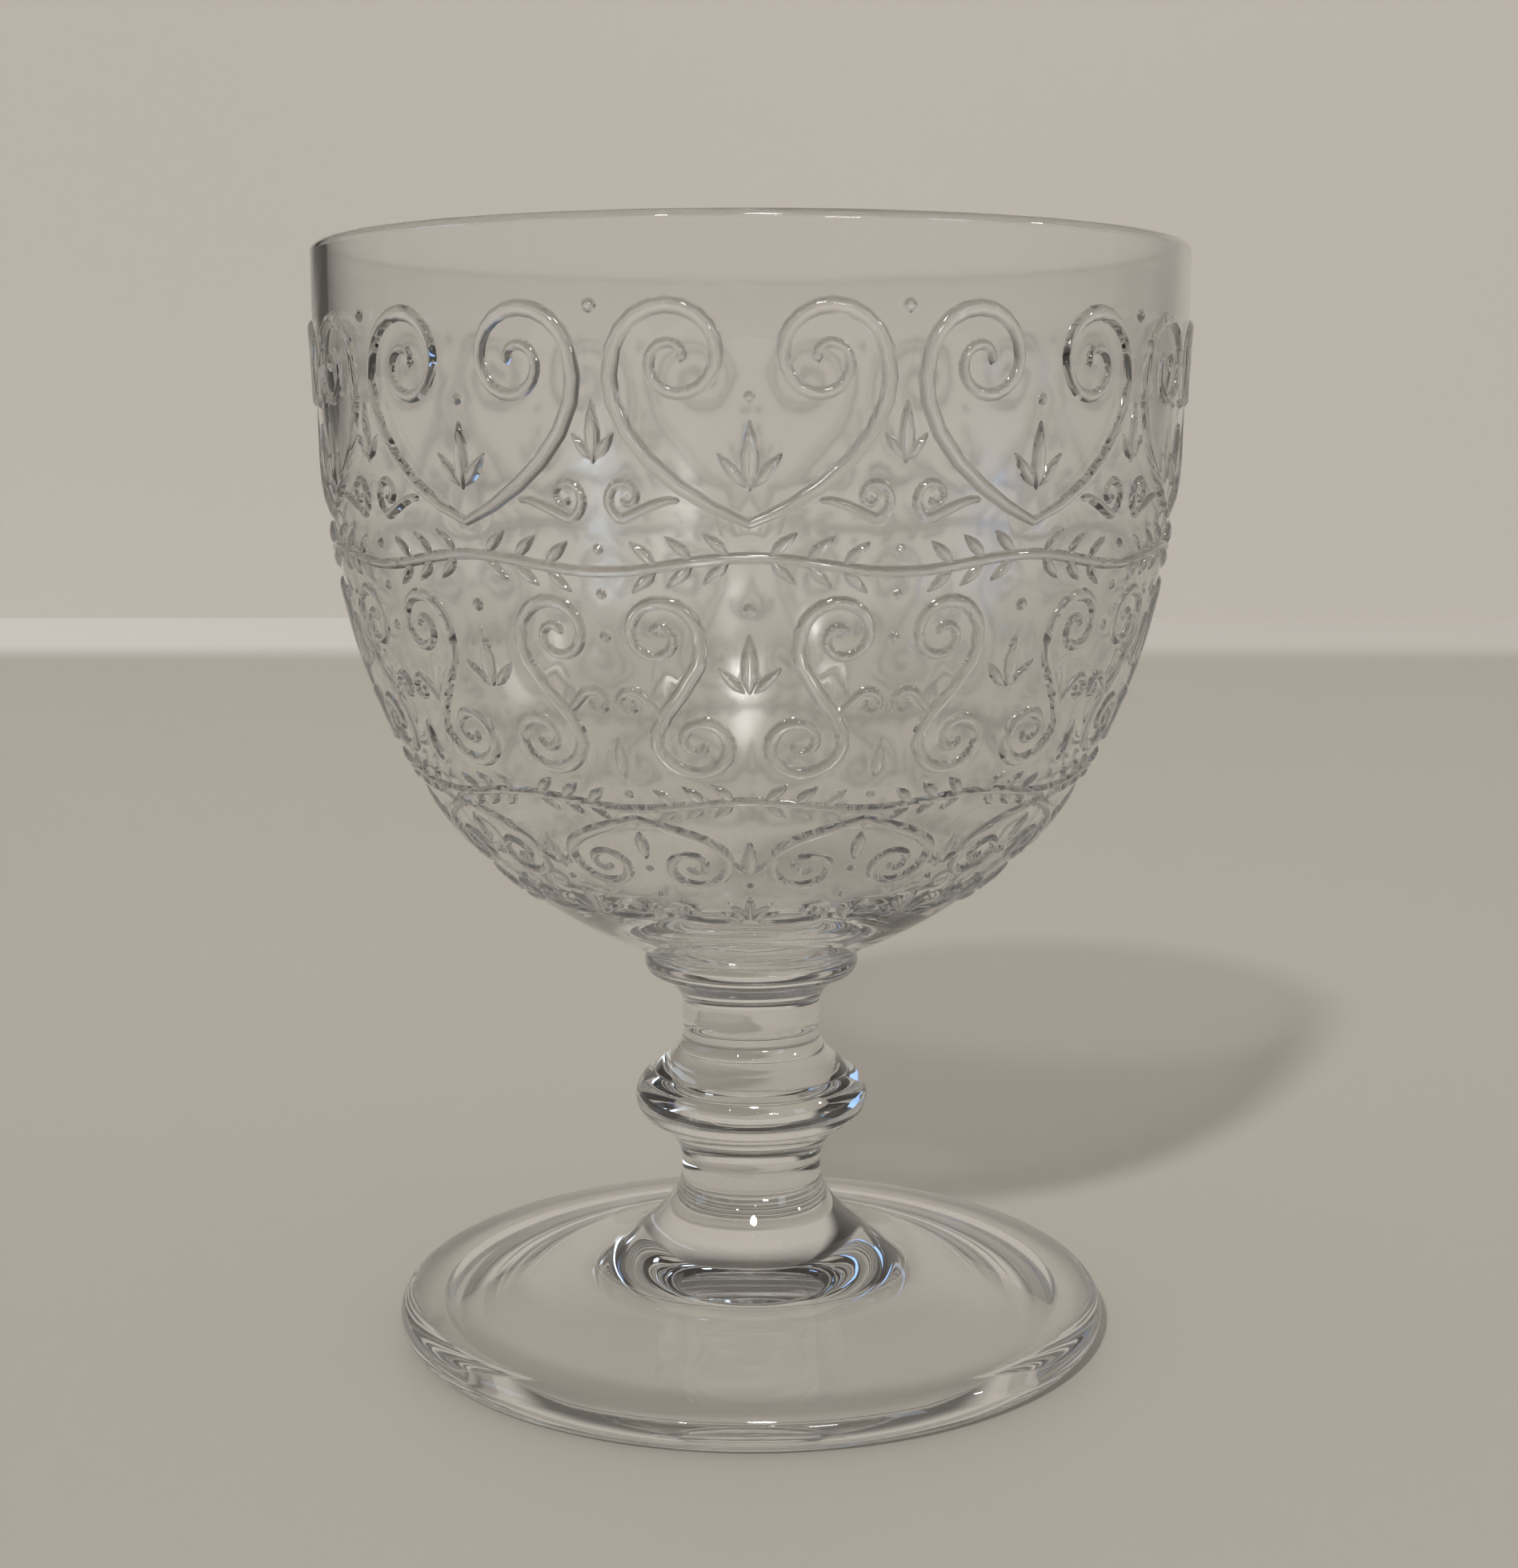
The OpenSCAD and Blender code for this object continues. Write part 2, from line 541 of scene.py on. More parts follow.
SMOOTH_UNDER = math.radians(32)  # edges that turn by more stay sharp
LEVEL = 0.999  # how upright a face's normal is at a joint
HELD = 0.00008  # how close an extra point stands to the end of a long stretch beside a short one


def held(rows):
    """Adds points beside the ends of long stretches, so that smooth shading stays level on them."""
    rows = np.array(rows, float)
    step = np.diff(rows, axis=0)
    run = np.hypot(*step.T)
    kept = [rows[0]]
    for i, length in enumerate(run):
        if length > 4 * HELD:
            if i and run[i - 1] < length / 2:
                kept.append(rows[i] + step[i] * (HELD / length))
            if i + 1 < len(run) and run[i + 1] < length / 2:
                kept.append(rows[i + 1] - step[i] * (HELD / length))
        kept.append(rows[i + 1])
    return np.array(kept)


def spin_profile(name, rows, steps):
    """Draws a profile as a curve, makes it a mesh and spins it all the way round."""
    rows = held(rows)
    bpy.ops.object.select_all(action="DESELECT")
    bpy.ops.curve.primitive_nurbs_path_add(radius=0.01, location=(0, 0, 0))
    piece = bpy.context.active_object
    piece.name = name
    piece.data.splines.clear()
    line = piece.data.splines.new("POLY")
    line.points.add(len(rows) - 1)
    line.points.foreach_set("co", np.array([(r, 0, z, 1) for r, z in rows]).ravel())
    only(piece)
    bpy.ops.object.convert(target="MESH")
    piece = bpy.context.active_object
    bpy.ops.object.mode_set(mode="EDIT")
    bpy.ops.mesh.select_all(action="SELECT")
    bpy.ops.mesh.spin(steps=steps, angle=TURN, center=(0, 0, 0), axis=(0, 0, 1))
    bpy.ops.mesh.select_all(action="SELECT")
    bpy.ops.mesh.remove_doubles(threshold=MERGE)
    bpy.ops.mesh.normals_make_consistent(inside=False)
    bpy.ops.object.mode_set(mode="OBJECT")
    piece.data.name = name
    return piece


def smooth(piece):
    """Shades a piece smooth, save for its true edges."""
    only(piece)
    bpy.ops.object.shade_smooth_by_angle(angle=SMOOTH_UNDER)


def give_materials(piece, finish, joints=()):
    """Gives a piece its finish, and the fused joint's on the flat faces at the heights given."""
    piece.data.materials.clear()
    piece.data.materials.append(shared_material(finish))
    piece.data.materials.append(shared_material(fused_joint))
    for face in piece.data.polygons:
        level = abs(face.normal.z) > LEVEL
        at_joint = any(abs(face.center.z - z) < MERGE * 5 for z in joints)
        face.material_index = 1 if level and at_joint else 0


def stand_in(piece, node):
    """The piece is shown in place of its solid."""
    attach(piece, "root")
    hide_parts(node)


SPIN_STEPS = 192
SOLE_STEPS = 48


class CORDIAL_OT_foot(bpy.types.Operator):
    """Round foot with a hollow underside, a resting ring and a trumpet rise"""

    bl_idname = "cordial.foot"
    bl_label = "Foot"

    def execute(self, context):
        sizes = context.scene.foot_sizes
        outer = radius("foot")
        height = top("foot")
        edge_radius = sizes.edge / 2
        edge_centre = (outer - edge_radius, edge_radius)
        rest_radius = edge_centre[0] - sizes.rest
        sole = np.linspace(0, rest_radius, SOLE_STEPS + 1)
        lift = sizes.hollow * (1 - (sole / rest_radius) ** sizes.hollow_power)
        edge = arc(edge_centre, edge_radius, -90, 90 - math.degrees(sizes.fall), 24)
        slope = np.array([-math.cos(sizes.fall), math.sin(sizes.fall)])
        rise = curve(
            edge[-1],
            edge[-1] + sizes.spread * outer * slope,
            (sizes.seat_radius + sizes.rise[0] * outer, sizes.rise[1] * height),
            (sizes.seat_radius, height),
            72,
        )
        rows = np.concatenate([np.stack([sole, lift], 1), edge, rise[1:], [(0, height)]])
        piece = spin_profile("foot_glass", rows, SPIN_STEPS)
        give_materials(piece, edged_glass, [height])
        smooth(piece)
        stand_in(piece, "foot")
        return {"FINISHED"}


class CORDIAL_OT_stem(bpy.types.Operator):
    """The two necks and the ring knop between them"""

    bl_idname = "cordial.stem"
    bl_label = "Stem"

    def execute(self, context):
        sizes = context.scene.stem_sizes
        bowl = context.scene.bowl_sizes
        foot = context.scene.foot_sizes
        collar_under = radius("bowl_collar") - bowl.collar_round_under
        necks = {
            "lower_stem": (foot.seat_radius, sizes.lower_waist, sizes.ring_under),
            "upper_stem": (sizes.ring_top, sizes.upper_waist, collar_under),
        }
        for node, (low, waist, high) in necks.items():
            bottom, up = seat(node), top(node)
            side = neck(low, waist, high, bottom, up - bottom, sizes.flare)
            rows = np.concatenate([[(0, bottom)], side, [(0, up)]])
            self.place(node, rows, (bottom, up))
        bottom, up = seat("ring_knop"), top("ring_knop")
        turn = math.degrees(sizes.ring_turn)
        centre = (radius("ring_knop") - sizes.ring_round, (bottom + up) / 2)
        edge = arc(centre, sizes.ring_round, -turn, turn, 40)
        rows = [(0, bottom), (sizes.ring_under, bottom), *edge, (sizes.ring_top, up), (0, up)]
        self.place("ring_knop", np.array(rows), (bottom, up))
        return {"FINISHED"}

    def place(self, node, rows, joints):
        piece = spin_profile(node + "_glass", rows, SPIN_STEPS)
        give_materials(piece, polished_glass, joints)
        smooth(piece)
        stand_in(piece, node)


class CORDIAL_OT_collar(bpy.types.Operator):
    """The thin disc under the bowl"""

    bl_idname = "cordial.collar"
    bl_label = "Collar"

    def execute(self, context):
        sizes = context.scene.bowl_sizes
        outer = radius("bowl_collar")
        bottom, up = seat("bowl_collar"), top("bowl_collar")
        under = arc(
            (outer - sizes.collar_round_under, bottom + sizes.collar_round_under),
            sizes.collar_round_under, -90, 0, 16,
        )
        over = arc(
            (outer - sizes.collar_round_top, up - sizes.collar_round_top),
            sizes.collar_round_top, 0, 90, 12,
        )
        rows = np.concatenate([[(0, bottom)], under, over, [(0, up)]])
        piece = spin_profile("collar_glass", rows, SPIN_STEPS)
        give_materials(piece, polished_glass, (bottom, up))
        smooth(piece)
        stand_in(piece, "bowl_collar")
        return {"FINISHED"}


# The raised band, laid out flat. Its unit of length is half of one repeat, and both directions keep
# the same scale at every height, so that a circle drawn here stays a circle on the bowl.


SIDE_STEPS = 4000  # fine enough to measure along
SIDE_STRIDE = 100  # of these, the steps that the clear walls keep

RIBBON_FOOT = 0.6  # half widths of a ribbon's foot and end, in shares of its full one
RIBBON_END = 0.62
RIBBON_GROWS = 0.25  # shares of its length over which it grows, and where and how it fades
RIBBON_FADE = (0.55, 0.45)


class BowlSide:
    """The bowl's outer side, from heights in the flat layout to places on the bowl."""

    def __init__(self, sizes, scrolls):
        foot = seat("bowl")
        tall = top("bowl") - foot
        rim = sizes.rim_radius
        self.half = math.pi / scrolls.units
        start = radius("bowl_collar") - sizes.collar_round_top
        self.lip = top("bowl") - sizes.rim_wall / 2
        line = curve(
            (start, foot),
            (sizes.belly[0] * rim, foot + sizes.belly[1] * tall),
            (sizes.side[0] * rim, foot + sizes.side[1] * tall),
            (rim, self.lip),
            SIDE_STEPS,
        )
        step = np.diff(line, axis=0)
        length = np.hypot(*step.T)
        middle = (line[1:, 0] + line[:-1, 0]) / 2
        self.flat = np.concatenate([[0], np.cumsum(length / middle)]) / self.half
        self.line = line
        self.flat -= np.interp(scrolls.low, line[:, 1], self.flat)
        self.height = float(np.interp(scrolls.high, line[:, 1], self.flat))

    def at(self, y):
        """Radius, height and outward direction at heights in the flat layout."""
        r = np.interp(y, self.flat, self.line[:, 0])
        z = np.interp(y, self.flat, self.line[:, 1])
        small = 1e-3
        dr = np.interp(y + small, self.flat, self.line[:, 0]) - np.interp(
            y - small, self.flat, self.line[:, 0]
        )
        dz = np.interp(y + small, self.flat, self.line[:, 1]) - np.interp(
            y - small, self.flat, self.line[:, 1]
        )
        long = np.hypot(dr, dz)
        return r, z, dz / long, -dr / long

    def scale(self, y):
        """Metres to one unit of the flat layout."""
        return np.interp(y, self.flat, self.line[:, 0]) * self.half

    def wrap(self, points, lift):
        """Places points of the flat layout on the bowl, lifted off it."""
        r, z, out_r, out_z = self.at(points[:, 1])
        angle = points[:, 0] * self.half - math.pi / 2
        r = r + lift * out_r
        return np.stack([r * np.cos(angle), r * np.sin(angle), z + lift * out_z], 1)


def curl(centre, outer, inner, begin, turns, steps=60):
    """A scroll's spiral end, from the outside in; turns run counter-clockwise."""
    share = np.linspace(0, 1, steps + 1)
    angle = math.radians(begin) + TURN * turns * share
    size = outer + (inner - outer) * share**0.85
    return np.stack([centre[0] + size * np.cos(angle), centre[1] + size * np.sin(angle)], 1)


def scroll(foot, heading, reach, centre, outer, inner, begin, turns):
    """A stem that leaves its foot at a heading and runs into a spiral."""
    spiral = curl(centre, outer, inner, begin, turns)
    along = spiral[1] - spiral[0]
    along /= np.linalg.norm(along)
    foot = np.array(foot, float)
    lead = np.array([math.cos(math.radians(heading)), math.sin(math.radians(heading))])
    stem = curve(foot, foot + reach[0] * lead, spiral[0] - reach[1] * along, spiral[0], 24)
    return np.concatenate([stem[:-1], spiral])


def thinned(points, most=0.24, far=0.2):
    """Keeps the points of a line where it turns by most radians or runs far."""
    kept = [0]
    heading = np.unwrap(np.arctan2(*np.diff(points, axis=0).T[::-1]))
    turned = run = 0.0
    for i in range(1, len(points) - 1):
        turned += abs(heading[i] - heading[i - 1])
        run += np.linalg.norm(points[i] - points[i - 1])
        if turned > most or run > far:
            kept.append(i)
            turned = run = 0.0
    return points[[*kept, len(points) - 1]]


def ribbon(points, width, end=RIBBON_END):
    """A line and its half widths: from a narrower foot to full width, and narrower at the end."""
    points = thinned(points)
    run = np.concatenate([[0], np.cumsum(np.linalg.norm(np.diff(points, axis=0), axis=1))])
    share = run / run[-1]
    grown = np.sin(np.minimum(1, share / RIBBON_GROWS) * math.pi / 2)
    swell = RIBBON_FOOT + (1 - RIBBON_FOOT) * grown
    fade = 1 - (1 - end) * np.clip((share - RIBBON_FADE[0]) / RIBBON_FADE[1], 0, 1)
    return points, width * swell * fade


def leaf(foot, angle, length, width, tip=0.25):
    """A pointed leaf on a straight middle line."""
    share = np.linspace(0, 1, 5)
    lead = np.array([math.cos(math.radians(angle)), math.sin(math.radians(angle))])
    points = np.array(foot, float) + np.outer(share * length, lead)
    return points, width * (tip + (1 - tip) * np.sin(math.pi * share**0.8) ** 0.9)


def bead(centre, size):
    """A round bead, as a very short line."""
    centre = np.array(centre, float)
    return np.array([centre - (1e-3, 0), centre + (1e-3, 0)]), np.array([size, size])


def hearts(y):
    """Pairs of scrolls that rise into hearts, with a bud in each and a leaf between them."""
    width = 0.056
    heart = scroll((0.0, y + 0.05), 20, (0.5, 0.4), (0.47, y + 1.07), 0.41, 0.05, -8, 1.5)
    tendril = scroll((0.46, y + 0.20), 8, (0.16, 0.1), (0.79, y + 0.22), 0.14, 0.03, -60, 1.05)
    return [
        ribbon(heart, width),
        ribbon(tendril, width * 0.7),
        leaf((0.0, y + 0.27), 90, 0.42, 0.066),
        leaf((0.03, y + 0.29), 50, 0.26, 0.048),
        bead((0.0, y + 0.84), 0.042),
        leaf((1.0, y + 0.44), 90, 0.38, 0.058),
        leaf((0.985, y + 0.46), 128, 0.2, 0.042),
        bead((1.0, y + 1.40), 0.05),
    ]


def garland(y, width=0.04):
    """A wavy stem with pairs of leaves, and beads above and below it."""
    x = np.linspace(-0.2, 1.2, 29)
    stem = np.stack([x, y + 0.05 * np.cos(math.pi * x)], 1)
    pieces = [(stem, np.full(len(x), width))]
    for place in (0.14, 0.38, 0.62):
        level = y + 0.05 * math.cos(math.pi * place)
        pieces.append(leaf((place, level + 0.03), 40, 0.21, width * 1.15))
        pieces.append(leaf((place, level - 0.03), -40, 0.21, width * 1.15))
    return [*pieces, bead((1.0, y + 0.1), width), bead((1.0, y - 0.2), width)]


def lyres(y):
    """Pairs of S-shaped scrolls with a curl at each end."""
    width = 0.061
    upper = curl((0.63, y + 1.21), 0.30, 0.045, 190, -1.4)
    lower = curl((0.37, y + 0.39), 0.33, 0.045, -5, -1.4)
    stem = curve(lower[0], lower[0] + (0.02, 0.3), upper[0] - (0.03, 0.3), upper[0], 16)
    tendril = scroll((0.63, y + 0.56), 70, (0.1, 0.1), (0.87, y + 0.70), 0.12, 0.03, 150, -1.0)
    return [
        ribbon(np.concatenate([lower[::-1][:-1], stem, upper[1:]]), width, end=0.6),
        ribbon(tendril, width * 0.7),
        leaf((0.0, y + 0.80), 90, 0.42, 0.07),
        leaf((0.04, y + 0.80), 46, 0.25, 0.048),
        bead((0.0, y + 1.40), 0.05),
        leaf((1.0, y + 0.06), 90, 0.36, 0.062),
        bead((1.0, y + 1.20), 0.045),
    ]


def drops(y):
    """Hearts that hang, with leaves in and between them."""
    width = 0.068
    heart = scroll((1.0, y + 1.02), 200, (0.42, 0.3), (0.55, y + 0.42), 0.35, 0.05, 172, 1.4)
    return [
        ribbon(heart, width),
        leaf((1.0, y + 0.86), -90, 0.34, 0.07),
        bead((1.0, y + 0.38), 0.048),
        leaf((0.0, y + 0.30), 90, 0.46, 0.075),
        leaf((0.03, y + 0.34), 48, 0.26, 0.055),
        bead((0.0, y + 0.14), 0.048),
    ]


def fans(y):
    """Fans of leaves with a small curl on each side."""
    curls = scroll((0.12, y + 0.04), 4, (0.3, 0.2), (0.72, y + 0.30), 0.2, 0.04, -50, 1.2)
    blades = ((90, 0.50), (60, 0.44), (30, 0.36))
    pieces = [leaf((0.0 if a == 90 else 0.02, y + 0.08), a, long, 0.07) for a, long in blades]
    return [*pieces, ribbon(curls, 0.066), bead((1.0, y + 0.60), 0.05),
            bead((1.0, y + 0.12), 0.05)]


def ornament():
    """All ribbons, leaves and beads of half a repeat, and their mirrored twins at its two sides."""
    pieces = [
        *hearts(4.02), *garland(3.80), *lyres(2.10), *garland(1.90, width=0.046), *drops(0.72),
        *fans(0.06),
    ]
    twins = []
    for points, width in pieces:
        x = points[:, 0]
        reach = width.max() + 0.02
        for side, near in ((0.0, x.min() < reach), (1.0, x.max() > 1 - reach)):
            if near and np.abs(x - side).max() > 2e-3:
                twins.append((points * (-1, 1) + (2 * side, 0), width))
    return pieces + twins


def outline(points, width):
    """Closed outline at the given half widths about a line, with round ends."""
    lead = np.gradient(points, axis=0)
    lead /= np.linalg.norm(lead, axis=1)[:, None]
    left = np.stack([-lead[:, 1], lead[:, 0]], 1) * width[:, None]
    ends = []
    for k, sign in ((-1, 1), (0, -1)):
        angle = math.atan2(*(lead[k] * sign)[::-1]) + math.pi / 2
        many = 3 if width[k] > 0.035 else 1
        turn = angle - np.linspace(0, math.pi, many + 2)[1:-1]
        ends.append(points[k] + width[k] * np.stack([np.cos(turn), np.sin(turn)], 1))
    return np.concatenate([points + left, ends[0], (points - left)[::-1], ends[1]])


PROFILE = ((0.0, 0.0), (0.4, 0.6), (1.0, 1.0))  # across the shoulder: share of width, of height


def lift_of(places, pieces, side, scrolls):
    """How far each place of the flat layout is lifted off the bowl, in shares of the relief."""
    best = np.zeros(len(places))
    scale = side.scale(places[:, 1])
    across, up = zip(*PROFILE)
    for points, width in pieces:
        wide = width.max()
        low, high = points.min(0) - wide, points.max(0) + wide
        near = np.nonzero(np.all((places >= low) & (places <= high), axis=1))[0]
        if not len(near):
            continue
        start, end = points[:-1], points[1:]
        step = end - start
        here = places[near][:, None, :] - start[None]
        share = np.clip((here * step).sum(2) / (step**2).sum(1), 0, 1)
        gap = np.linalg.norm(here - share[..., None] * step, axis=2)
        inside = width[:-1] + (width[1:] - width[:-1]) * share - gap
        deep = inside.max(1) * scale[near] / scrolls.shoulder
        best[near] = np.maximum(best[near], np.interp(deep, across, up))
    return best


def half_repeat(side, scrolls, columns):
    """Flat mesh of half a repeat: its places, triangles and lifts."""
    pieces = ornament()
    corners, edges = [], []

    def ring(line, closed=True):
        first = len(corners)
        corners.extend(line)
        edges.extend((first + i, first + i + 1) for i in range(len(line) - 1))
        if closed:
            edges.append((first + len(line) - 1, first))

    for points, width in pieces:
        scale = side.scale(points[:, 1])
        for share, _ in PROFILE:
            inset = width - share * np.minimum(scrolls.shoulder / scale, width * 0.9)
            ring(outline(points, inset))
    tall = side.height
    for level in (0.0, tall):
        ring([(i / columns, level) for i in range(columns + 1)], closed=False)
    rows = 40
    weld, snap = 1e-5, 3e-5
    for x in (0.0, 1.0):
        ring([(x, tall * i / rows) for i in range(rows + 1)], closed=False)
    gap = 0.16
    fill = np.array([
        (x + (0.5 * gap if row % 2 else 0), row * gap)
        for row in range(1, int(tall / gap) + 1)
        for x in np.arange(gap / 2, 1 - gap / 4, gap)
    ])
    for points, width in pieces:
        middle = np.linalg.norm(fill[:, None] - points[None], axis=2).min(1)
        fill = fill[middle > width.max() + 0.4 * gap]
    fill = fill[(fill[:, 0] < 1 - gap / 4) & (fill[:, 1] < tall - gap / 3)]
    corners.extend(fill)
    corners = [Vector(corner) for corner in corners]
    places, _, faces, *_ = delaunay_2d_cdt(corners, edges, [], 0, weld, False)
    places = np.array([tuple(p) for p in places])
    for axis, line in ((0, 0.0), (0, 1.0), (1, 0.0), (1, tall)):
        places[np.abs(places[:, axis] - line) < snap, axis] = line
    faces = np.array(faces)
    middle = places[faces].mean(1)
    keep = (middle[:, 0] > 0) & (middle[:, 0] < 1) & (middle[:, 1] > 0) & (middle[:, 1] < tall)
    faces = faces[keep]
    used, faces = np.unique(faces, return_inverse=True)
    places = places[used]
    return places, faces.reshape(-1, 3), lift_of(places, pieces, side, scrolls)


def scroll_band(side, scrolls, columns):
    """The raised band: half a repeat wrapped on the bowl, mirrored, and copied round."""
    places, faces, lift = half_repeat(side, scrolls, columns)
    mesh = bpy.data.meshes.new("scroll_band")
    mesh.from_pydata(side.wrap(places, lift * scrolls.relief), [], faces.tolist())
    mesh.attributes.new("relief", "FLOAT", "POINT").data.foreach_set("value", lift)
    band = bpy.data.objects.new("scroll_band", mesh)
    bpy.context.collection.objects.link(band)
    only(band)
    mirror = band.modifiers.new("mirror", "MIRROR")
    mirror.use_axis = (True, False, False)
    mirror.merge_threshold = MERGE
    bpy.ops.object.modifier_apply(modifier=mirror.name)
    bpy.ops.object.mode_set(mode="EDIT")
    bpy.ops.mesh.select_all(action="SELECT")
    bpy.ops.mesh.spin(
        steps=scrolls.units - 1,
        dupli=True,
        angle=TURN * (scrolls.units - 1) / scrolls.units,
        center=(0, 0, 0),
        axis=(0, 0, 1),
    )
    bpy.ops.object.mode_set(mode="OBJECT")
    return band


class CORDIAL_OT_bowl(bpy.types.Operator):
    """The bowl: its clear walls and lip, and the raised band round it"""

    bl_idname = "cordial.bowl"
    bl_label = "Bowl"

    def execute(self, context):
        sizes = context.scene.bowl_sizes
        scrolls = context.scene.scroll_sizes
        side = BowlSide(sizes, scrolls)
        columns = 11
        steps = 2 * scrolls.units * columns
        foot = seat("bowl")
        low = side.line[side.line[:, 1] < scrolls.low][::SIDE_STRIDE]
        below = np.concatenate([[(0, foot)], low, [side.at(0.0)[:2]]])
        high = side.line[side.line[:, 1] > scrolls.high][::-SIDE_STRIDE][::-1]
        edge = side.at(side.height)[:2]
        inner = sizes.rim_radius - sizes.rim_wall
        floor = foot + sizes.floor_wall
        deep = side.lip - floor
        lip = arc((sizes.rim_radius - sizes.rim_wall / 2, side.lip), sizes.rim_wall / 2, 0, 180, 20)
        inside = curve(
            (inner, side.lip),
            (sizes.inside_side[0] * inner, floor + sizes.inside_side[1] * deep),
            (sizes.inside_floor * inner, floor),
            (0, floor),
            40,
        )
        above = np.concatenate([[edge], high[1:], lip[1:], inside[1:]])
        parts = [
            spin_profile("bowl_below", below, steps),
            spin_profile("bowl_above", above, steps),
            scroll_band(side, scrolls, columns),
        ]
        bpy.ops.object.select_all(action="DESELECT")
        for part in parts:
            part.select_set(True)
        bpy.context.view_layer.objects.active = parts[0]
        bpy.ops.object.join()
        piece = bpy.context.active_object
        piece.name = piece.data.name = "bowl_glass"
        bpy.ops.object.mode_set(mode="EDIT")
        bpy.ops.mesh.select_all(action="SELECT")
        bpy.ops.mesh.remove_doubles(threshold=MERGE)
        bpy.ops.mesh.normals_make_consistent(inside=False)
        bpy.ops.object.mode_set(mode="OBJECT")
        give_materials(piece, scroll_glass, [foot])
        smooth(piece)
        stand_in(piece, "bowl")
        return {"FINISHED"}


# Stage


# Where the tones of the table and the wall change, each from its first limit to its second, in
# metres from the glass. The darker tones are painted shade, and the table's pale strip is a painted
# lit band.
CLOUD_TONE = 0.96
TABLE_CLOUDS, WALL_CLOUDS = 9.0, 3.0
TABLE_ROUGHNESS, WALL_ROUGHNESS = 0.5, 0.7
# The table's pale strip along the wall, a painted lit band
STRIP_FADES = (-0.3, 0.2)
STRIP_REACH = 0.153
STRIP_SOFTNESS = 0.035
# Painted shade: the table is painted darker towards the front
FRONT_SHADE_TONE, FRONT_FADES = 0.92, (-0.07, 0.15)
# Painted shade: the wall is painted darker towards the left
LEFT_SHADE_TONE, LEFT_FADES = 0.93, (0.1, -0.25)
# Painted shade: the wall is painted dark to its sides and above, for what looks at it
LEFT_DARKENS = (-0.33, -0.5)
RIGHT_DARKENS, RIGHT_DARKNESS = (0.34, 1.0), 0.8
ABOVE_DARKENS, ABOVE_DARKNESS = (0.28, 0.7), 0.85


def toned(colour, tone):
    """A colour made darker, for a socket."""
    return (*(c * tone for c in colour), 1)


def cloudy(wire, colour, grain):
    """A colour that a faint cloudiness varies."""
    return mix_colours(wire, noise(wire, grain, 3.0), toned(colour, CLOUD_TONE), (*colour, 1))


def matt_finish(material, wire, colour, roughness):
    body = wire.node("ShaderNodeBsdfPrincipled", {"Base Color": colour, "Roughness": roughness})
    return finish_material(material, body)


def table_top(name):
    """Satin table, painted darker towards the front, with a paler strip along the wall that is
    painted as a lit band, brighter on the left.
    """
    look = bpy.context.scene.stage_look
    material, wire = new_material(name)
    x, y = along(wire, "X"), along(wire, "Y")
    # Painted light: the strip is painted as a lit band, paler on the left than on the right
    to_right = smooth_step(wire, x, *STRIP_FADES)
    strip = mix_colours(wire, to_right, (*look.lit_strip_left, 1), (*look.lit_strip_right, 1))
    # Painted shade: the table is painted darker towards the front
    from_front = smooth_step(wire, y, *FRONT_FADES)
    clouded = cloudy(wire, look.table, TABLE_CLOUDS)
    plain = mix_colours(wire, from_front, toned(look.table, FRONT_SHADE_TONE), clouded)
    edge = look.wall_distance - STRIP_REACH
    at_strip = smooth_step(wire, y, edge - STRIP_SOFTNESS, edge + STRIP_SOFTNESS)
    return matt_finish(material, wire, mix_colours(wire, at_strip, plain, strip), TABLE_ROUGHNESS)


def wall_paint(name):
    """Matt wall with painted shade: darker on its left, and painted dark to its sides and above to
    look at, but even in the light it scatters.
    """
    look = bpy.context.scene.stage_look
    material, wire = new_material(name)
    x, z = along(wire, "X"), along(wire, "Z")
    # Painted shade: dark to the sides and above for what looks at the wall, and even for scattered
    # light
    left = smooth_step(wire, x, *LEFT_DARKENS)
    right = smooth_step(wire, x, *RIGHT_DARKENS) * RIGHT_DARKNESS
    above = smooth_step(wire, z, *ABOVE_DARKENS) * ABOVE_DARKNESS
    far = wire.maths("MAXIMUM", wire.maths("MAXIMUM", left, right), above)
    # Painted shade: the wall is painted darker on its left
    to_left = smooth_step(wire, x, *LEFT_FADES)
    clouded = cloudy(wire, look.wall, WALL_CLOUDS)
    plain = mix_colours(wire, to_left, clouded, toned(look.wall, LEFT_SHADE_TONE))
    scattered = wire.node("ShaderNodeLightPath", output="Is Diffuse Ray")
    colour = mix_colours(wire, far * (1 - scattered), plain, toned(look.wall, look.far_shade_tone))
    return matt_finish(material, wire, colour, WALL_ROUGHNESS)


def add_lamp(name, place, aim, size, power, colour, lights=True, shines=True, in_view=False):
    """A soft lamp, round or with a width and a height, that light, mirror and view may see."""
    data = bpy.data.lights.new(name, "AREA")
    data.shape = "RECTANGLE" if isinstance(size, tuple) else "DISK"
    data.size, data.size_y = size if isinstance(size, tuple) else (size, size)
    data.energy = power
    data.color = colour
    lamp = bpy.data.objects.new(name, data)
    bpy.context.collection.objects.link(lamp)
    lamp.location = place
    lamp.rotation_euler = (Vector(aim) - Vector(place)).to_track_quat("-Z", "Y").to_euler()
    lamp.visible_camera = in_view
    lamp.visible_diffuse = lights
    lamp.visible_glossy = shines
    lamp.visible_transmission = in_view


ROOM_SIZE = 6  # of the table's and the wall's planes
WALL_MIDDLE = 2.9
TABLE_GAP = 0.00005  # air under the foot's resting ring, so that light doesn't slip between the two


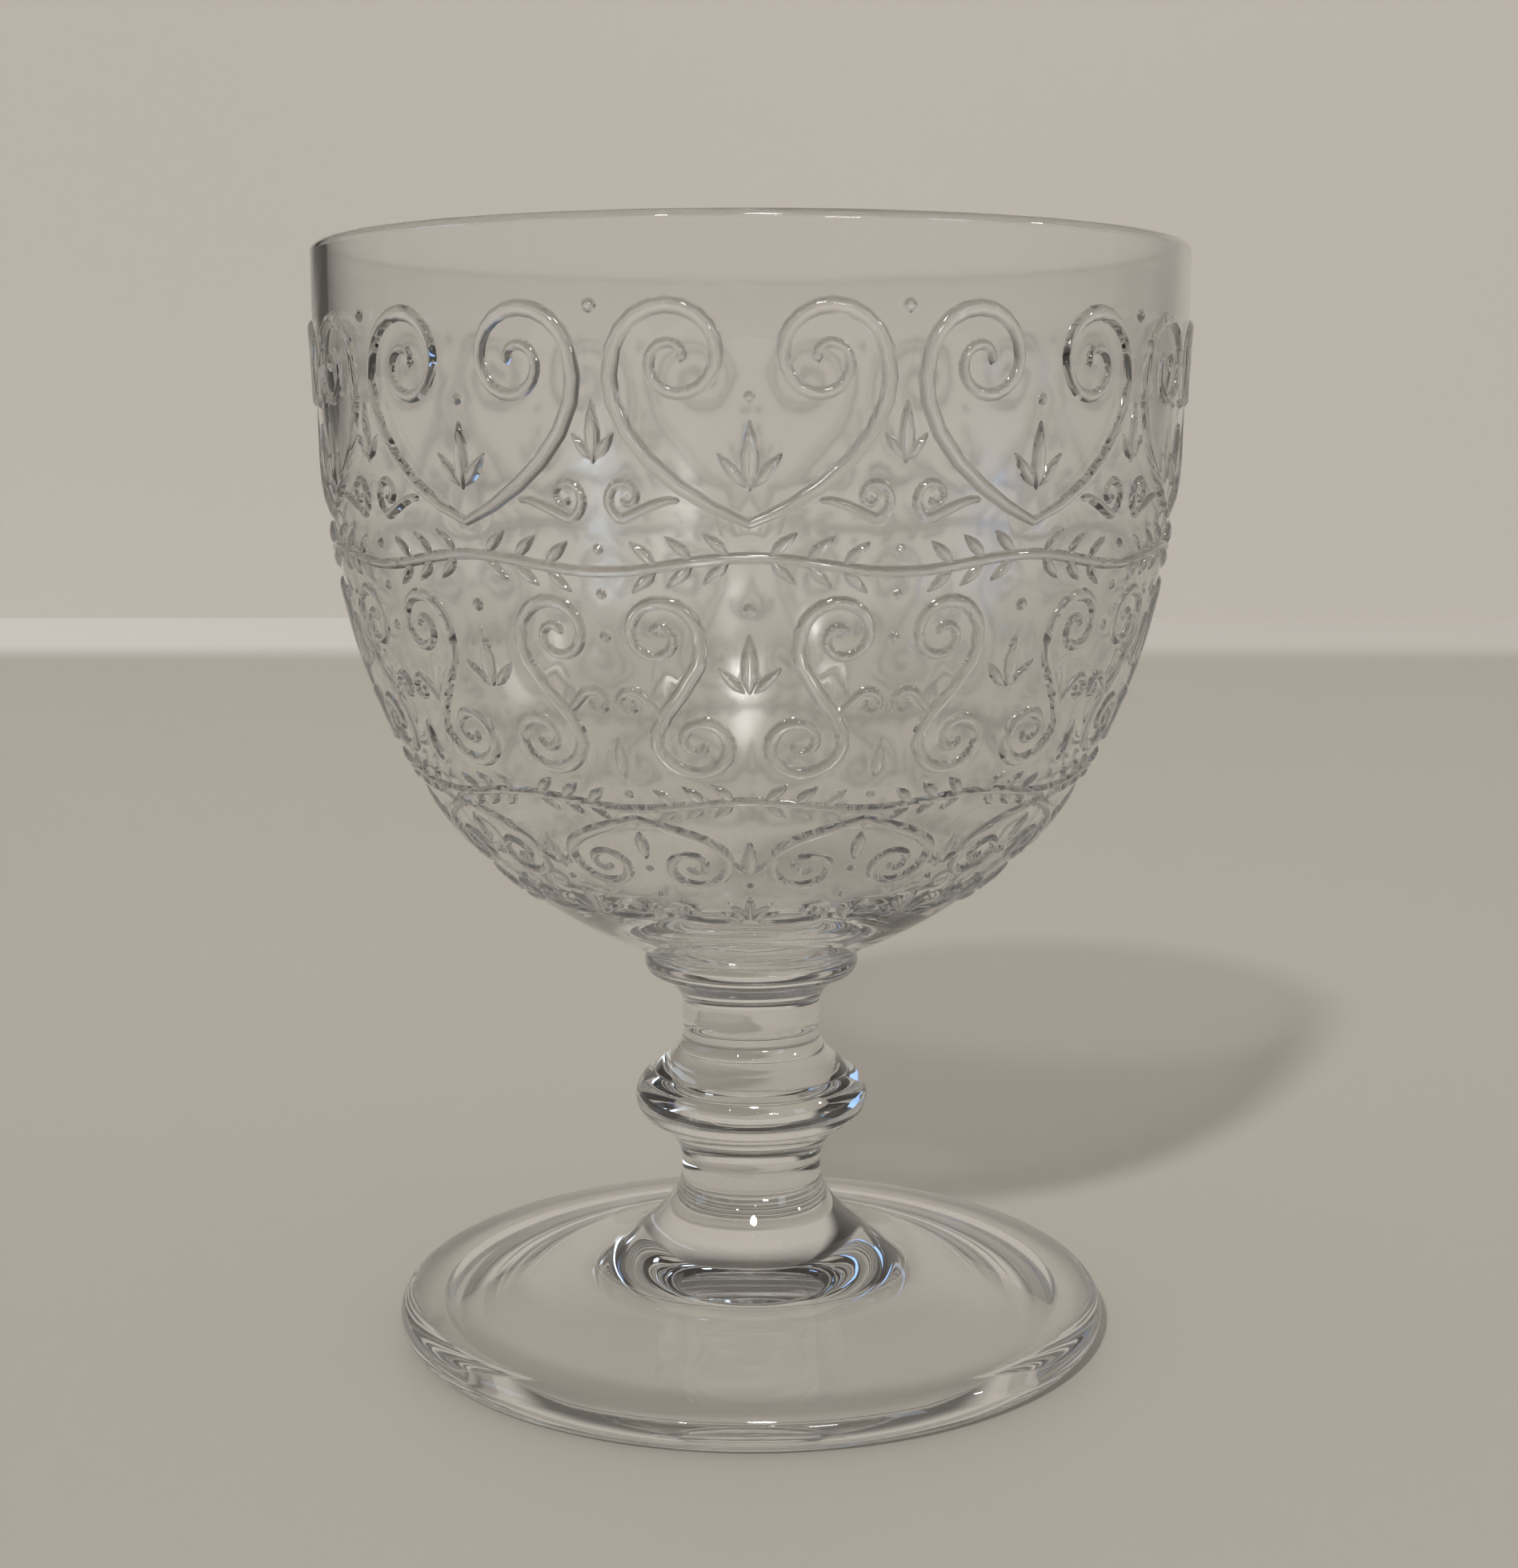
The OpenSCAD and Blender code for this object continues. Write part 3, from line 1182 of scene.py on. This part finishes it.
class CORDIAL_OT_stage(bpy.types.Operator):
    """Table, wall, lamps, world and camera"""

    bl_idname = "cordial.stage"
    bl_label = "Stage"

    def execute(self, context):
        look = context.scene.stage_look
        self.add_room(look)
        self.add_lamps()
        self.add_world()
        self.add_camera(look)
        self.let_light_through(context.scene.cycles)
        return {"FINISHED"}

    def add_room(self, look):
        planes = {
            "table": (table_top, (0, 0, -TABLE_GAP), (0, 0, 0)),
            "wall": (wall_paint, (0, look.wall_distance, WALL_MIDDLE), (math.pi / 2, 0, 0)),
        }
        for name, (finish, place, turn) in planes.items():
            bpy.ops.object.select_all(action="DESELECT")
            bpy.ops.mesh.primitive_plane_add(size=ROOM_SIZE, location=place, rotation=turn)
            plane = bpy.context.active_object
            plane.name = name
            bpy.ops.object.transform_apply(location=True, rotation=True, scale=True)
            plane.data.materials.append(shared_material(finish))

    def add_lamps(self):
        glass = (0, 0, 0.04)
        warm, cool, blue = (1.0, 0.985, 0.96), (0.7, 0.85, 1.0), (0.32, 0.55, 1.0)
        add_lamp("key", (-1.326, -3.81, 2.95), glass, 0.3, 194.0, warm, shines=False)
        add_lamp("left_glint", (-0.29, -0.68, 0.56), glass, 0.04, 0.3, warm, lights=False)
        add_lamp("front_glint", (0.3, -0.72, 0.3), glass, (0.12, 0.05), 0.5, warm, lights=False)
        add_lamp("back_glint", (0.09, -0.8, 0.5), glass, 0.03, 0.2, warm, lights=False)
        add_lamp("ceiling_glint", (0.04, -0.62, 0.74), glass, 0.13, 1.5, warm, lights=False)
        add_lamp("right_glint", (0.8, -0.14, 0.5), glass, 0.05, 0.45, warm, lights=False)
        add_lamp(
            "right_window", (0.86, -0.72, 0.45), glass, (0.22, 0.34), 0.6, cool, lights=False,
            in_view=True,
        )
        add_lamp(
            "left_window", (-1.1, -0.12, 0.36), glass, (0.34, 0.26), 0.4, blue, lights=False,
            in_view=True,
        )

    def add_world(self):
        """A room that is dark behind the camera to look at, and lights the scene evenly."""
        behind, beyond = (0.035, 0.031, 0.028, 1), (0.42, 0.39, 0.35, 1)
        even = (0.52, 0.515, 0.505, 1)
        world = bpy.data.worlds.new("room")
        bpy.context.scene.world = world
        world.use_nodes = True
        world.node_tree.nodes.clear()
        wire = Wire(world.node_tree)
        way = wire.node("ShaderNodeTexCoord", output="Generated")
        ahead = wire.node("ShaderNodeSeparateXYZ", {"Vector": way}, output="Y")
        seen = mix_colours(wire, smooth_step(wire, ahead, 0.05, 0.5), behind, beyond)
        scattered = wire.node("ShaderNodeLightPath", output="Is Diffuse Ray")
        colour = mix_colours(wire, scattered, seen, even)
        glow = wire.node("ShaderNodeBackground", {"Color": colour, "Strength": 1.0})
        output = world.node_tree.nodes.new("ShaderNodeOutputWorld")
        world.node_tree.links.new(glow.socket, output.inputs["Surface"])

    def let_light_through(self, paths):
        """Enough bounces for light that is mirrored many times inside the foot and the stem."""
        paths.max_bounces = paths.glossy_bounces = paths.transmission_bounces = 32
        paths.transparent_max_bounces = 32

    def add_camera(self, look):
        data = bpy.data.cameras.new("camera")
        camera = bpy.data.objects.new("camera", data)
        bpy.context.collection.objects.link(camera)
        camera.location = look.camera_place
        camera.rotation_euler = (math.pi / 2 - look.camera_pitch, 0, 0)
        data.lens = look.lens
        data.sensor_width = 36
        data.clip_start = 0.01
        bpy.context.scene.camera = camera
        bpy.context.scene.view_settings.view_transform = "Standard"


class CORDIAL_PT_panel(bpy.types.Panel):
    """Lists what the glass is built from"""

    bl_idname = "CORDIAL_PT_panel"
    bl_label = "Cordial Glass"
    bl_space_type = "VIEW_3D"
    bl_region_type = "UI"
    bl_category = "Cordial Glass"

    def draw(self, context):
        for group in SETTINGS:
            box = self.layout.box()
            for field in getattr(context.scene, group).bl_rna.properties:
                if not field.is_readonly and field.identifier != "name":
                    box.prop(getattr(context.scene, group), field.identifier)
        for operator in OPERATORS:
            self.layout.operator(operator.bl_idname)


SETTINGS = {
    "bowl_sizes": BowlSizes,
    "stem_sizes": StemSizes,
    "foot_sizes": FootSizes,
    "scroll_sizes": ScrollSizes,
    "glass_look": GlassLook,
    "stage_look": StageLook,
}
OPERATORS = (
    CORDIAL_OT_foot,
    CORDIAL_OT_stem,
    CORDIAL_OT_collar,
    CORDIAL_OT_bowl,
    CORDIAL_OT_stage,
)


def register():
    for name, group in SETTINGS.items():
        bpy.utils.register_class(group)
        setattr(bpy.types.Scene, name, bpy.props.PointerProperty(type=group))
    for operator in OPERATORS:
        bpy.utils.register_class(operator)
    bpy.utils.register_class(CORDIAL_PT_panel)


def unregister():
    bpy.utils.unregister_class(CORDIAL_PT_panel)
    for operator in reversed(OPERATORS):
        bpy.utils.unregister_class(operator)
    for name, group in reversed(SETTINGS.items()):
        delattr(bpy.types.Scene, name)
        bpy.utils.unregister_class(group)


def main():
    register()
    bpy.ops.cordial.foot()
    bpy.ops.cordial.stem()
    bpy.ops.cordial.collar()
    bpy.ops.cordial.bowl()
    bpy.ops.cordial.stage()


if __name__ == "__main__":
    main()
